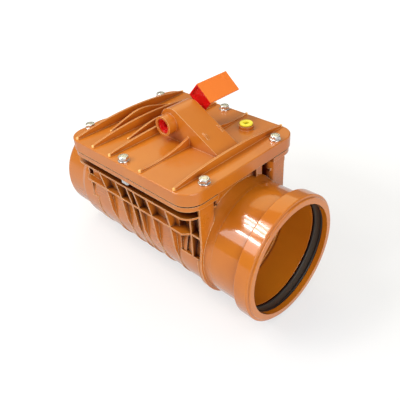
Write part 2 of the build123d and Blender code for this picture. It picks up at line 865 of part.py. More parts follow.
with BuildPart() as flap_clamp_ring:
    with BuildSketch(flap_plane):
        with Locations((0, flap_centre)):
            Circle(flap_seal_inner_r - 0.1)
            Circle(clamp_inner_r, mode=Mode.SUBTRACT)
            with PolarLocations(rivet_line_r, rivet_count, start_angle=22.5):
                Circle(rivet_r, mode=Mode.SUBTRACT)
    extrude(amount=-flap_seal_thickness)
    with BuildSketch(flap_plane.offset(-flap_seal_thickness)):
        with Locations((0, flap_centre)):
            Circle(clamp_outer_r)
            Circle(clamp_inner_r, mode=Mode.SUBTRACT)
            with PolarLocations(rivet_line_r, rivet_count, start_angle=22.5):
                Circle(rivet_r, mode=Mode.SUBTRACT)
    extrude(amount=-clamp_thickness)
flap_clamp_ring.part.label = "flap_clamp_ring"

rivet_seat = flap_seal_thickness + clamp_thickness
with BuildPart() as flap_rivets:
    with BuildSketch(flap_plane.offset(-rivet_seat)):
        with Locations((0, flap_centre)):
            with PolarLocations(rivet_line_r, rivet_count, start_angle=22.5):
                Circle(rivet_r)
    extrude(amount=rivet_seat + flap_thickness)
    for level, height in ((-rivet_seat, -rivet_head_height), (flap_thickness, rivet_head_height)):
        with BuildSketch(flap_plane.offset(level)):
            with Locations((0, flap_centre)):
                with PolarLocations(rivet_line_r, rivet_count, start_angle=22.5):
                    Circle(rivet_head_r)
        extrude(amount=height)
flap_rivets.part.label = "flap_rivets"

# Stub pins, held in the housing's walls
with BuildPart() as hinge_pins:
    for wall_y, inward, hanger_y in (
        (housing_near_y + 1, 1, hanger_ys[0] + hanger_thickness / 2),
        (housing_far_y - 1, -1, hanger_ys[1] - hanger_thickness / 2),
    ):
        with BuildSketch(side_plane(wall_y)):
            with Locations((hinge_x, hinge_z)):
                Circle(hinge_pin_r)
        extrude(amount=wall_y - hanger_y)
hinge_pins.part.label = "hinge_pins"

# Lever shaft: sealed head in the near boss, square middle, far journal and lever square
head_inner_y = housing_near_y + housing_wall
square_end_y = housing_far_y - housing_wall - moving_clearance
head_outer_y = boss_near_y + 2.5
lever_pin_plane = Plane(
    origin=(shaft_x, lever_near_y + lever_hub_length / 2, shaft_z),
    x_dir=(0, 1, 0),
    z_dir=(sin(radians(lever_radial_angle)), 0, -cos(radians(lever_radial_angle))),
)
with BuildPart() as lever_shaft:
    with BuildSketch(side_plane(head_outer_y)):
        with Locations((shaft_x, shaft_z)):
            Circle(shaft_head_r)
    extrude(amount=head_outer_y - head_inner_y)
    with BuildSketch(side_plane(head_inner_y)):
        with Locations(Location((shaft_x, shaft_z), lever_radial_angle)):
            Rectangle(shaft_square, shaft_square)
    extrude(amount=head_inner_y - square_end_y)
    with BuildSketch(side_plane(square_end_y)):
        with Locations((shaft_x, shaft_z)):
            Circle(journal_r)
    extrude(amount=square_end_y - lever_near_y)
    with BuildSketch(side_plane(lever_near_y)):
        with Locations(Location((shaft_x, shaft_z), lever_radial_angle)):
            Rectangle(lever_square, lever_square)
    extrude(amount=-lever_hub_length)
    # hexagon key recess in the head, and the grooves of its two rings
    with BuildSketch(side_plane(head_outer_y)):
        with Locations((shaft_x, shaft_z)):
            Circle(shaft_dish_r)
    extrude(amount=-shaft_dish_depth, mode=Mode.SUBTRACT)
    with BuildSketch(side_plane(head_outer_y + shaft_dish_depth)):
        with Locations((shaft_x, shaft_z)):
            RegularPolygon(key_recess_r, 6)
    extrude(amount=-key_recess_depth, mode=Mode.SUBTRACT)
    with BuildSketch(lever_pin_plane):
        Circle(lever_pin_r)
    extrude(amount=lever_hub_r, both=True, mode=Mode.SUBTRACT)
    for groove_place in ring_groove_places:
        with BuildSketch(side_plane(head_outer_y + groove_place)):
            with Locations((shaft_x, shaft_z)):
                Circle(shaft_head_r + 1)
                Circle(shaft_head_r - ring_groove_depth, mode=Mode.SUBTRACT)
        extrude(amount=-ring_groove_width, mode=Mode.SUBTRACT)
lever_shaft.part.label = "lever_shaft"

with BuildPart() as shaft_seals:
    for groove_place in ring_groove_places:
        with BuildSketch(side_plane(head_outer_y + groove_place + seal_slack)):
            with Locations((shaft_x, shaft_z)):
                Circle(shaft_head_r)
                Circle(shaft_head_r - ring_groove_depth + seal_slack, mode=Mode.SUBTRACT)
        extrude(amount=2 * seal_slack - ring_groove_width)
shaft_seals.part.label = "shaft_seals"


# Lock arm: when the lever is thrown, its nose stands over the pad on the flap's back
free_angle = lock_angle + lock_turn
bend_reach = hypot(arm_bend[0] - shaft_x, arm_bend[1] - shaft_z)
bend_angle = degrees(atan2(arm_bend[1] - shaft_z, arm_bend[0] - shaft_x))
free_bend = about_shaft(bend_reach, bend_angle + lock_turn)
free_nose = about_shaft(lock_reach, free_angle)
arm_near_y = housing_y - arm_thickness / 2
with BuildPart() as lock_arm:
    for start, start_r, end, end_r in (
        ((shaft_x, shaft_z), arm_hub_r, free_bend, arm_bend_r),
        (free_bend, arm_bend_r, free_nose, arm_bend_r),
    ):
        with BuildSketch(side_plane(arm_near_y)):
            with Locations(start):
                Circle(start_r)
            with Locations(end):
                Circle(end_r)
            make_hull()
        extrude(amount=-arm_thickness)
    with BuildSketch(side_plane(arm_near_y)):
        with Locations(free_nose):
            Circle(arm_nose_r)
    extrude(amount=-arm_thickness)
    with BuildSketch(side_plane(arm_near_y)):
        with Locations(Location((shaft_x, shaft_z), lever_radial_angle)):
            Rectangle(shaft_square + 0.1, shaft_square + 0.1)
    extrude(amount=-arm_thickness, mode=Mode.SUBTRACT)
lock_arm.part.label = "lock_arm"

# Lever: a broad plate on a back wall, carried by a hub with a square hole
lever_plane = Plane(
    origin=(shaft_x, lever_near_y, shaft_z),
    x_dir=(cos(radians(lever_radial_angle)), 0, sin(radians(lever_radial_angle))),
    z_dir=(0, -1, 0),
)
lever_length = lever_far_y - lever_near_y
lever_width = lever_front + lever_back
lever_middle = (lever_front - lever_back) / 2
with BuildPart() as lever:
    # in this plane x runs out along the lever and y runs towards its back
    with BuildSketch(lever_plane):
        with Locations((lever_reach - lever_wall / 2, -lever_middle)):
            Rectangle(lever_wall, lever_width)
        with Locations(((lever_floor + lever_reach) / 2, lever_back - lever_wall / 2)):
            Rectangle(lever_reach - lever_floor, lever_wall)
    extrude(amount=-lever_length)
    with BuildSketch(lever_plane):
        with Locations((lever_floor + lever_wall / 2, lever_back / 2)):
            Rectangle(lever_wall, lever_back)
        with Locations(((lever_floor + lever_wall) / 2, 0)):
            Rectangle(lever_floor + lever_wall, 2 * lever_hub_r)
        Circle(lever_hub_r)
    extrude(amount=-lever_hub_length)
    with BuildSketch(lever_plane):
        with BuildLine():
            Polyline(
                (lever_floor, 0),
                (lever_reach - lever_wall / 2, -lever_front),
                (lever_floor + 2 * lever_wall, -lever_front),
                (lever_floor, -lever_hub_r),
                close=True,
            )
        make_face()
    extrude(amount=-lever_wall)
    with BuildSketch(lever_plane):
        Rectangle(lever_square + 0.2, lever_square + 0.2)
    extrude(amount=-lever_hub_length, mode=Mode.SUBTRACT)
    with BuildSketch(lever_pin_plane):
        Circle(lever_pin_r)
    extrude(amount=lever_hub_r + 1, both=True, mode=Mode.SUBTRACT)
lever.part.label = "lever"

with BuildPart() as lever_pin:
    with BuildSketch(lever_pin_plane):
        Circle(lever_pin_r)
    extrude(amount=lever_hub_r, both=True)
lever_pin.part.label = "lever_pin"

# Test plug: cap with a key slot, shank and ring seal
plug_seat_z = lid_top_z + plug_boss_height
with BuildPart() as test_plug:
    with BuildSketch(Plane.XY.offset(plug_seat_z + plug_gap)):
        with Locations((plug_x, plug_y)):
            Circle(plug_cap_r)
    extrude(amount=plug_cap_height)
    with BuildSketch(Plane.XY.offset(plug_seat_z + plug_gap)):
        with Locations((plug_x, plug_y)):
            Circle(plug_shank_r)
    extrude(amount=-plug_shank_length)
    with BuildSketch(Plane.XY.offset(plug_seat_z + plug_gap + plug_cap_height)):
        with Locations((plug_x, plug_y)):
            RegularPolygon(plug_key_r, 6)
    extrude(amount=-plug_key_depth, mode=Mode.SUBTRACT)
    with BuildSketch(Plane.XY.offset(plug_seat_z - plug_groove_drop)):
        with Locations((plug_x, plug_y)):
            Circle(plug_shank_r + 1)
            Circle(plug_shank_r - plug_groove_depth, mode=Mode.SUBTRACT)
    extrude(amount=-plug_groove_width, mode=Mode.SUBTRACT)
test_plug.part.label = "test_plug"

with BuildPart() as plug_seal:
    with BuildSketch(Plane.XY.offset(plug_seat_z - plug_groove_drop - seal_slack)):
        with Locations((plug_x, plug_y)):
            Circle(plug_shank_r + seal_slack)
            Circle(plug_shank_r - plug_groove_depth + seal_slack, mode=Mode.SUBTRACT)
    extrude(amount=2 * seal_slack - plug_groove_width)
plug_seal.part.label = "plug_seal"

for piece in (
    body, inlet_socket, socket_collar, socket_seal, valve_seat, lid, lid_gasket, lid_screws,
    lid_washers, lid_nuts, flap, flap_hanger, flap_seal, flap_clamp_ring, flap_rivets,
    hinge_pins, lever_shaft, shaft_seals, lock_arm, lever, lever_pin, test_plug, plug_seal,
):
    export_step(piece.part, f"parts/{piece.part.label}.step")
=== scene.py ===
import math
import bpy
import bmesh
from mathutils import Matrix, Vector


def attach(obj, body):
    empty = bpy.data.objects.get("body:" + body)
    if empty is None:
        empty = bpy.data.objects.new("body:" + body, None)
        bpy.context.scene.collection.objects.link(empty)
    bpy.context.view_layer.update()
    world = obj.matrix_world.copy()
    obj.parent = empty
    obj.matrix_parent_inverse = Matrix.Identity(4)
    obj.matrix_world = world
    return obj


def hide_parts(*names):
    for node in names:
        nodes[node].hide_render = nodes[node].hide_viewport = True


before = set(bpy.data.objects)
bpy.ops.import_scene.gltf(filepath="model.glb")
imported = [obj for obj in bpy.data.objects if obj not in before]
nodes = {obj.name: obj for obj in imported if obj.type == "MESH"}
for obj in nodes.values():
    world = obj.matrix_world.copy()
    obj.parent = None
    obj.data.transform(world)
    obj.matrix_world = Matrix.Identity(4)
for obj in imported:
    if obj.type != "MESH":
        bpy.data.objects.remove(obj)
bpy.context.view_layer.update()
print("frame loaded")

sameSpot = 0.00001  # metres: vertices this near are one, and one this near a level is on it


def clearSelection():
    bpy.ops.object.select_all(action="DESELECT")


def makeActive(piece):
    clearSelection()
    piece.select_set(True)
    bpy.context.view_layer.objects.active = piece


def editAll(piece):
    makeActive(piece)
    bpy.ops.object.mode_set(mode="EDIT")
    bpy.ops.mesh.select_all(action="SELECT")


def selectLevel(piece, height):
    # in edit mode, only the ring of vertices at this height
    bpy.ops.mesh.select_all(action="DESELECT")
    mesh = bmesh.from_edit_mesh(piece.data)
    for vertex in mesh.verts:
        vertex.select_set(abs(vertex.co.z - height) < sameSpot)
    mesh.select_flush(True)


def applyPlace(piece):
    makeActive(piece)
    bpy.ops.object.transform_apply(location=True, rotation=True, scale=True)


def applyModifiers(piece):
    makeActive(piece)
    for modifier in list(piece.modifiers):
        bpy.ops.object.modifier_apply(modifier=modifier.name)


def addBevel(piece, width, segments, angle):
    bevel = piece.modifiers.new("edges", "BEVEL")
    bevel.width = width
    bevel.segments = segments
    bevel.limit_method = "ANGLE"
    bevel.angle_limit = math.radians(angle)
    applyModifiers(piece)


def smoothByAngle(piece, angle):
    makeActive(piece)
    bpy.ops.object.shade_smooth_by_angle(angle=math.radians(angle))


def evenNormals(piece):
    # big faces keep their own direction and only the rounded edges turn
    even = piece.modifiers.new("even", "WEIGHTED_NORMAL")
    even.keep_sharp = True
    applyModifiers(piece)


def outwards(piece):
    editAll(piece)
    bpy.ops.mesh.remove_doubles(threshold=sameSpot)
    bpy.ops.mesh.normals_make_consistent(inside=False)
    bpy.ops.object.mode_set(mode="OBJECT")


def addObject(name, data):
    piece = bpy.data.objects.new(name, data)
    bpy.context.scene.collection.objects.link(piece)
    return piece


def drawn(name, points, edges, faces=()):
    # an outline to be spun, turned or pulled into a piece
    mesh = bpy.data.meshes.new(name)
    mesh.from_pydata(points, edges, faces)
    return addObject(name, mesh)


def addCylinder(sides, radius, depth, middle):
    bpy.ops.mesh.primitive_cylinder_add(vertices=sides, radius=radius, depth=depth,
                                        location=(0, 0, middle))
    piece = bpy.context.object
    applyPlace(piece)
    return piece


def copyOf(piece, name):
    twin = piece.copy()
    twin.data = piece.data.copy()
    twin.name = name
    bpy.context.scene.collection.objects.link(twin)
    return twin


def joined(pieces, name):
    clearSelection()
    for piece in pieces:
        piece.select_set(True)
    bpy.context.view_layer.objects.active = pieces[0]
    bpy.ops.object.join()
    whole = bpy.context.view_layer.objects.active
    whole.name = name
    return whole


def spunRing(name, profile, steps):
    # profile: (x, radius) points in metres, closed round the pipe's axis
    count = len(profile)
    ring = drawn(name, [(x, 0, r) for x, r in profile], [(i, (i + 1) % count) for i in range(count)])
    editAll(ring)
    bpy.ops.mesh.spin(steps=steps, angle=2 * math.pi, center=(0, 0, 0), axis=(1, 0, 0))
    bpy.ops.object.mode_set(mode="OBJECT")
    outwards(ring)
    return ring


# In the materials below a colour is linear red, green and blue, and a length is in metres.
# A noise is (scale, detail) or (scale, detail, stretch).
noiseSpread = (0.3, 0.7)  # nearly all of a noise lies between these
edgeMatch = (0.995, 0.85)  # how well the rounded normal fits the face, on a flat and on an edge
shaderSamples = {"edge": 6, "openness": 8}


def newMaterial(name):
    material = bpy.data.materials.new(name)
    material.use_nodes = True
    tree = material.node_tree
    tree.nodes.clear()
    output = tree.nodes.new("ShaderNodeOutputMaterial")
    shader = tree.nodes.new("ShaderNodeBsdfPrincipled")
    tree.links.new(shader.outputs[0], output.inputs[0])
    coords = tree.nodes.new("ShaderNodeTexCoord")
    return material, tree, shader, coords


def noiseOn(tree, coords, scale, detail, stretch=(1, 1, 1)):
    mapping = tree.nodes.new("ShaderNodeMapping")
    mapping.inputs["Scale"].default_value = stretch
    noise = tree.nodes.new("ShaderNodeTexNoise")
    noise.inputs["Scale"].default_value = scale
    noise.inputs["Detail"].default_value = detail
    tree.links.new(coords.outputs["Object"], mapping.inputs["Vector"])
    tree.links.new(mapping.outputs["Vector"], noise.inputs["Vector"])
    return noise.outputs["Fac"]


def mapped(tree, value, source, target=(0, 1)):
    # carries a value from the source range to the target range
    spread = tree.nodes.new("ShaderNodeMapRange")
    for socket, number in zip(("From Min", "From Max", "To Min", "To Max"), (*source, *target)):
        spread.inputs[socket].default_value = number
    tree.links.new(value, spread.inputs["Value"])
    return spread.outputs["Result"]


def mixedColour(tree, value, dark, light, spread=noiseSpread):
    ramp = tree.nodes.new("ShaderNodeValToRGB")
    for element, position, colour in zip(ramp.color_ramp.elements, spread, (dark, light)):
        element.position = position
        element.color = (*colour, 1)
    tree.links.new(value, ramp.inputs["Fac"])
    return ramp.outputs["Color"]


def blended(tree, kind, amount, first, second):
    mix = tree.nodes.new("ShaderNodeMix")
    mix.data_type = "RGBA"
    mix.blend_type = kind
    for value, socket in ((amount, mix.inputs[0]), (first, mix.inputs[6]), (second, mix.inputs[7])):
        if isinstance(value, (int, float)):
            socket.default_value = value
        elif isinstance(value, tuple):
            socket.default_value = (*value, 1)
        else:
            tree.links.new(value, socket)
    return mix.outputs[2]


def roundedNormal(tree, radius):
    edge = tree.nodes.new("ShaderNodeBevel")
    edge.samples = shaderSamples["edge"]
    edge.inputs["Radius"].default_value = radius
    return edge.outputs["Normal"]


def softEdges(tree, shader, radius, height, strength, depth=0.0002):
    # rounded look of moulded edges, with a fine surface bump on top of it
    bump = tree.nodes.new("ShaderNodeBump")
    bump.inputs["Strength"].default_value = strength
    bump.inputs["Distance"].default_value = depth
    tree.links.new(height, bump.inputs["Height"])
    tree.links.new(roundedNormal(tree, radius), bump.inputs["Normal"])
    tree.links.new(bump.outputs["Normal"], shader.inputs["Normal"])


def edgeMask(tree, radius, most):
    # 0 on a flat face, and up to most along an edge, where the painted edge highlight goes
    face = tree.nodes.new("ShaderNodeNewGeometry")
    match = tree.nodes.new("ShaderNodeVectorMath")
    match.operation = "DOT_PRODUCT"
    tree.links.new(roundedNormal(tree, radius), match.inputs[0])
    tree.links.new(face.outputs["Normal"], match.inputs[1])
    return mapped(tree, match.outputs["Value"], edgeMatch, (0, most))


def paintedPocketShade(tree, colour, tone, reach, spread):
    # painted shade: multiplies the colour by the tone where other faces close in within the reach
    openness = tree.nodes.new("ShaderNodeAmbientOcclusion")
    openness.samples = shaderSamples["openness"]
    openness.inputs["Distance"].default_value = reach
    depth = mixedColour(tree, openness.outputs["AO"], tone, (1, 1, 1), spread)
    return blended(tree, "MULTIPLY", 1.0, colour, depth)


def roughFrom(tree, shader, noise, finish):
    tree.links.new(mapped(tree, noise, noiseSpread, finish["roughness"]), shader.inputs["Roughness"])


def grainedEdges(tree, shader, coords, finish):
    softEdges(tree, shader, finish["edge"], noiseOn(tree, coords, *finish["grain"]), finish["grainStrength"])


# the pale edge colour below is a painted highlight along edges
pvc = {"dark": (0.52, 0.138, 0.008), "light": (0.59, 0.181, 0.010), "paintedEdgeHighlight": (1.0, 0.74, 0.40),
       "cloud": (9, 4), "flow": (26, 3, (0.4, 1, 1)), "peel": (520, 2), "peelStrength": 0.05, "ior": 1.52}
# rub: how pale the edges are painted, a painted highlight; pocket and crease: painted shade, the tones
# of wide and narrow recesses, with their reach and the openness between which they fade out
walls = {"roughness": (0.24, 0.34), "coat": 0.6, "coatRoughness": 0.14, "edge": 0.0009, "edgeHighlightShare": 1.0,
         "pocketShade": (0.11, 0.032, 0.014), "pocketShadeReach": 0.030, "pocketShadeRange": (0.30, 0.55)}
cover = {"roughness": (0.30, 0.40), "coat": 0.5, "coatRoughness": 0.14, "edge": 0.0010, "edgeHighlightShare": 0.72,
         "pocketShade": (0.74, 0.50, 0.32), "pocketShadeReach": 0.020, "pocketShadeRange": (0.30, 0.70)}
pipe = {"roughness": (0.10, 0.16), "coat": 0.5, "coatRoughness": 0.04, "edge": 0.0004, "edgeHighlightShare": 0.25,
        "pocketShade": (0.42, 0.20, 0.10), "pocketShadeReach": 0.026, "pocketShadeRange": (0.30, 0.70),
        "creaseShade": (0.18, 0.07, 0.04), "creaseShadeReach": 0.006, "creaseShadeRange": (0.50, 0.88)}
# the rib-end stubs are painted pale orange, a painted highlight on their rounded ends
paintedTipHighlight = {"roughness": (0.10, 0.14), "coat": 0.6, "coatRoughness": 0.05, "edge": 0.0008, "edgeHighlightShare": 0.9,
        "pocketShade": (0.8, 0.6, 0.5), "pocketShadeReach": 0.004, "pocketShadeRange": (0.30, 0.70),
        "dark": (0.90, 0.46, 0.12), "light": (0.98, 0.58, 0.20)}


def pvcMaterial(name, finish):
    material, tree, shader, coords = newMaterial(name)
    cloud = noiseOn(tree, coords, *pvc["cloud"])
    plain = mixedColour(tree, cloud, finish.get("dark", pvc["dark"]), finish.get("light", pvc["light"]))
    # painted highlight: the edges are mixed towards the pale edge colour
    paintedEdgeHighlight = blended(tree, "MIX", edgeMask(tree, finish["edge"], finish["edgeHighlightShare"]), plain, pvc["paintedEdgeHighlight"])
    # painted shade: darker where other faces close in, and for the pipe also in narrow creases
    shaded = paintedPocketShade(tree, paintedEdgeHighlight, finish["pocketShade"], finish["pocketShadeReach"], finish["pocketShadeRange"])
    if "creaseShade" in finish:
        shaded = paintedPocketShade(tree, shaded, finish["creaseShade"], finish["creaseShadeReach"], finish["creaseShadeRange"])
    tree.links.new(shaded, shader.inputs["Base Color"])
    roughFrom(tree, shader, noiseOn(tree, coords, *pvc["flow"]), finish)
    shader.inputs["IOR"].default_value = pvc["ior"]
    shader.inputs["Coat Weight"].default_value = finish["coat"]
    shader.inputs["Coat Roughness"].default_value = finish["coatRoughness"]
    softEdges(tree, shader, finish["edge"], noiseOn(tree, coords, *pvc["peel"]), pvc["peelStrength"])
    return material


# the hand plate stands square to a line from the shaft's middle that leans so many degrees from +X to +Z;
# along that line the plate's painted lit colour fades in between plateFrom and plateTo
lever = {"shaft": (-0.2024, 0, 0.1457), "leans": 49.5, "plateFrom": 0.0366, "plateTo": 0.0374}
# plate: the outer face's colour, lighter as a painted highlight; inside: the lever's own deep red
red = {"plate": (0.86, 0.205, 0.026), "inside": (0.66, 0.006, 0.005), "roughness": (0.24, 0.34),
       "cloud": (24, 3), "grain": (900, 2), "grainStrength": 0.06, "edge": 0.0005, "ior": 1.5}


def leverOut():
    leans = math.radians(lever["leans"])
    return Vector((math.cos(leans), 0, math.sin(leans)))


def redMaterial(name):
    # painted light: the plate's outer face is painted a lighter orange red where it catches the light, and
    # the rest is a deep red
    material, tree, shader, coords = newMaterial(name)
    fromShaft = tree.nodes.new("ShaderNodeVectorMath")
    fromShaft.operation = "SUBTRACT"
    fromShaft.inputs[1].default_value = lever["shaft"]
    along = tree.nodes.new("ShaderNodeVectorMath")
    along.operation = "DOT_PRODUCT"
    along.inputs[1].default_value = leverOut()
    tree.links.new(coords.outputs["Object"], fromShaft.inputs[0])
    tree.links.new(fromShaft.outputs["Vector"], along.inputs[0])
    reach = mapped(tree, along.outputs["Value"], (lever["plateFrom"], lever["plateTo"]))
    tree.links.new(mixedColour(tree, reach, red["inside"], red["plate"]), shader.inputs["Base Color"])
    roughFrom(tree, shader, noiseOn(tree, coords, *red["cloud"]), red)
    shader.inputs["IOR"].default_value = red["ior"]
    grainedEdges(tree, shader, coords, red)
    return material


yellow = {"dark": (0.90, 0.77, 0.04), "light": (0.96, 0.86, 0.08), "roughness": (0.26, 0.36),
          "pocketShade": (0.30, 0.26, 0.10), "pocketShadeReach": 0.004, "pocketShadeRange": (0.45, 0.85),
          "cloud": (120, 3), "grain": (1100, 2), "grainStrength": 0.08, "edge": 0.0005}


def yellowMaterial(name):
    material, tree, shader, coords = newMaterial(name)
    cloud = noiseOn(tree, coords, *yellow["cloud"])
    plain = mixedColour(tree, cloud, yellow["dark"], yellow["light"])
    # painted shade in the cap's hollows
    shaded = paintedPocketShade(tree, plain, yellow["pocketShade"], yellow["pocketShadeReach"], yellow["pocketShadeRange"])
    tree.links.new(shaded, shader.inputs["Base Color"])
    roughFrom(tree, shader, cloud, yellow)
    grainedEdges(tree, shader, coords, yellow)
    return material


grey = {"dark": (0.075, 0.077, 0.082), "light": (0.11, 0.112, 0.118), "roughness": (0.34, 0.48),
        "cloud": (18, 5), "grain": (1400, 2), "grainStrength": 0.12, "edge": 0.0005}


def greyMaterial(name):
    material, tree, shader, coords = newMaterial(name)
    cloud = noiseOn(tree, coords, *grey["cloud"])
    tree.links.new(mixedColour(tree, cloud, grey["dark"], grey["light"]), shader.inputs["Base Color"])
    roughFrom(tree, shader, cloud, grey)
    grainedEdges(tree, shader, coords, grey)
    return material


steel = {"dark": (0.70, 0.70, 0.69), "light": (0.92, 0.92, 0.91), "roughness": (0.22, 0.36),
         "brush": (420, 4), "brushStrength": 0.05, "brushDepth": 0.0001, "edge": 0.0004,
         "turned": (1, 1, 0.15), "rolled": (0.15, 1, 1)}


def steelMaterial(name, stretch):
    material, tree, shader, coords = newMaterial(name)
    brush = noiseOn(tree, coords, *steel["brush"], stretch)
    tree.links.new(mixedColour(tree, brush, steel["dark"], steel["light"]), shader.inputs["Base Color"])
    roughFrom(tree, shader, brush, steel)
    shader.inputs["Metallic"].default_value = 1.0
    softEdges(tree, shader, steel["edge"], brush, steel["brushStrength"], steel["brushDepth"])
    return material


rubber = {"dark": (0.012, 0.011, 0.010), "light": (0.030, 0.027, 0.024), "roughness": (0.42, 0.60),
          "cloud": (60, 4), "grain": (1500, 2), "grainStrength": 0.10, "edge": 0.0004}
# painted sheen on the seal's lip between its two grooves
lipPaintedSheen = {"from": -0.0206, "to": -0.0126, "colour": (0.075, 0.062, 0.048), "full": (0.06, 0.94)}


def withPaintedSheen(tree, coords, colour, paintedSheen):
    # painted sheen: lighter between two places along the pipe, with a short fade at either end
    parts = tree.nodes.new("ShaderNodeSeparateXYZ")
    tree.links.new(coords.outputs["Object"], parts.inputs[0])
    place = mapped(tree, parts.outputs["X"], (paintedSheen["from"], paintedSheen["to"]))
    band = tree.nodes.new("ShaderNodeValToRGB")
    for element in band.color_ramp.elements:
        element.color = (0, 0, 0, 1)
    for position in paintedSheen["full"]:
        band.color_ramp.elements.new(position).color = (1, 1, 1, 1)
    tree.links.new(place, band.inputs["Fac"])
    return blended(tree, "MIX", band.outputs["Color"], colour, paintedSheen["colour"])


def rubberMaterial(name, paintedSheen=None):
    material, tree, shader, coords = newMaterial(name)
    cloud = noiseOn(tree, coords, *rubber["cloud"])
    colour = mixedColour(tree, cloud, rubber["dark"], rubber["light"])
    if paintedSheen:
        colour = withPaintedSheen(tree, coords, colour, paintedSheen)
    tree.links.new(colour, shader.inputs["Base Color"])
    roughFrom(tree, shader, cloud, rubber)
    grainedEdges(tree, shader, coords, rubber)
    return material


def wear(piece, material):
    piece.data.materials.clear()
    piece.data.materials.append(material)


bodyOrange = pvcMaterial("bodyOrange", walls)
lidOrange = pvcMaterial("lidOrange", cover)
socketOrange = pvcMaterial("socketOrange", pipe)
# pale rib ends: painted highlight
ribTipHighlight = pvcMaterial("ribTipHighlight", paintedTipHighlight)
leverRed = redMaterial("leverRed")
plugYellow = yellowMaterial("plugYellow")
flapGrey = greyMaterial("flapGrey")
screwSteel = steelMaterial("screwSteel", steel["turned"])
sheetSteel = steelMaterial("sheetSteel", steel["rolled"])
sealRubber = rubberMaterial("sealRubber")
lipRubber = rubberMaterial("lipRubber", lipPaintedSheen)

finishes = {
    bodyOrange: ["body", "valve_seat"],
    socketOrange: ["inlet_socket", "socket_collar"],
    lidOrange: ["lid"],
    leverRed: ["lever_shaft", "lever"],
    plugYellow: ["test_plug"],
    flapGrey: ["flap", "flap_hanger", "lock_arm"],
    screwSteel: ["lid_screws", "lid_washers", "lid_nuts", "hinge_pins", "lever_pin", "flap_rivets"],
    sheetSteel: ["flap_clamp_ring"],
    sealRubber: ["socket_seal", "lid_gasket", "shaft_seals", "plug_seal", "flap_seal"],
}
for material, names in finishes.items():
    for name in names:
        wear(nodes[name], material)
print("materials given to the carried-over nodes")

# corners: (out from the shaft, back along the plate), from: the wall's near side on the Y axis
web = {"from": 0.0331, "thickness": 0.0022,
       "corners": ((0.0121, 0.0213), (0.0372, 0.0213), (0.0372, -0.0110), (0.0165, -0.0110),
                   (0.0121, -0.0075))}


def leverWeb():
    # the wall across the lever's near end, set back from the plate's edge
    start = Vector(lever["shaft"])
    out = leverOut()
    back = Vector((-out.z, 0, out.x))
    outline = [start + out * u + back * v + Vector((0, web["from"], 0)) for u, v in web["corners"]]
    piece = drawn("web", outline, [], [tuple(range(len(outline)))])
    editAll(piece)
    bpy.ops.mesh.extrude_region_move(TRANSFORM_OT_translate={"value": (0, web["thickness"], 0)})
    bpy.ops.object.mode_set(mode="OBJECT")
    outwards(piece)
    return piece


# each node: the piece that replaces it, its body, the width of its rounded edges and its slot
mouldedEdges = {"lever": ("leverHandle", "lever", 0.0006, "lever_red"),
                "test_plug": ("plugCap", "plug", 0.0005, "plug_yellow"),
                "lever_shaft": ("leverShaftTurned", "lever", 0.0004, "lever_red"),
                "lid_washers": ("lidWashersPressed", "valve", 0.0004, "stainless"),
                "lid_nuts": ("lidNuts", "valve", 0.0004, "stainless"),
                "lock_arm": ("lockArmMoulded", "lever", 0.0006, "flap_grey"),
                "flap_hanger": ("flapHangerMoulded", "flap", 0.0006, "flap_grey")}
moulding = {"merge": 0.000005, "flatWithin": 1, "segments": 3, "sharpFrom": 35}  # metres and degrees


def roundedCopy(name, pieceName, body, width):
    # a node's own form with its edges rounded as they left the mould
    piece = addObject(pieceName, nodes[name].data.copy())
    editAll(piece)
    bpy.ops.mesh.remove_doubles(threshold=moulding["merge"])
    bpy.ops.mesh.dissolve_limited(angle_limit=math.radians(moulding["flatWithin"]))
    bpy.ops.object.mode_set(mode="OBJECT")
    if name == "lever":
        across = leverWeb()
        union = piece.modifiers.new("web", "BOOLEAN")
        union.operation = "UNION"
        union.object = across
        applyModifiers(piece)
        bpy.data.objects.remove(across)
    addBevel(piece, width, moulding["segments"], moulding["sharpFrom"])
    smoothByAngle(piece, moulding["sharpFrom"])
    evenNormals(piece)
    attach(piece, body)
    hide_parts(name)
    return piece


for name, (pieceName, body, width, slot) in mouldedEdges.items():
    roundedCopy(name, pieceName, body, width)
print("small mouldings rounded")

# places: x, y and the degrees that each head is turned by
# chamfer: degrees below flat; dish: the hollow in the head's top, its slope, floor and rise
# crest: the flat top of the thread, as shares of the pitch
# edge: width, segments and the least angle of an edge that is rounded
screw = {"places": ((-0.0874, 0.0695, 8), (-0.0874, -0.0695, 34), (-0.2070, 0.0989, 20),
                    (-0.2070, -0.0989, 47), (-0.3230, 0.0703, 12), (-0.3230, -0.0703, 29)),
         "flats": 0.0130, "height": 0.0053, "base": 0.1234, "headSides": 48, "blankR": 0.010,
         "chamferR": 0.0060, "chamfer": 32, "dishR": 0.0044, "dishSlope": 0.0004, "dishDepth": 0.0005,
         "dishFloor": 0.0026, "dishRise": 0.0002, "edge": (0.00022, 2, 40), "smooth": 32,
         "shankR": 0.0040, "shankSides": 32, "overlap": 0.0003, "tip": 0.0846, "threadTop": 0.1060,
         "coreR": 0.00345, "coreSides": 24, "coreOverlap": 0.00003, "pitch": 0.00125,
         "threadFrom": 0.0004, "crest": (0.45, 0.55), "threadSteps": 20}
flatSpan = math.radians(60)  # what one flat of a hexagon takes of the turn
lift = 0.001  # keeps the chamfer's inner ring apart from the outer one until both are placed


def hexagonBlank():
    # a ring of vertices on the six flats, at the head's base
    bpy.ops.mesh.primitive_circle_add(vertices=screw["headSides"], radius=screw["blankR"],
                                      fill_type="NOTHING", location=(0, 0, screw["base"]))
    blank = bpy.context.object
    applyPlace(blank)
    apothem = screw["flats"] / 2
    for vertex in blank.data.vertices:
        angle = math.atan2(vertex.co.y, vertex.co.x)
        reach = apothem / math.cos((angle % flatSpan) - flatSpan / 2)
        vertex.co.x = reach * math.cos(angle)
        vertex.co.y = reach * math.sin(angle)
    return blank


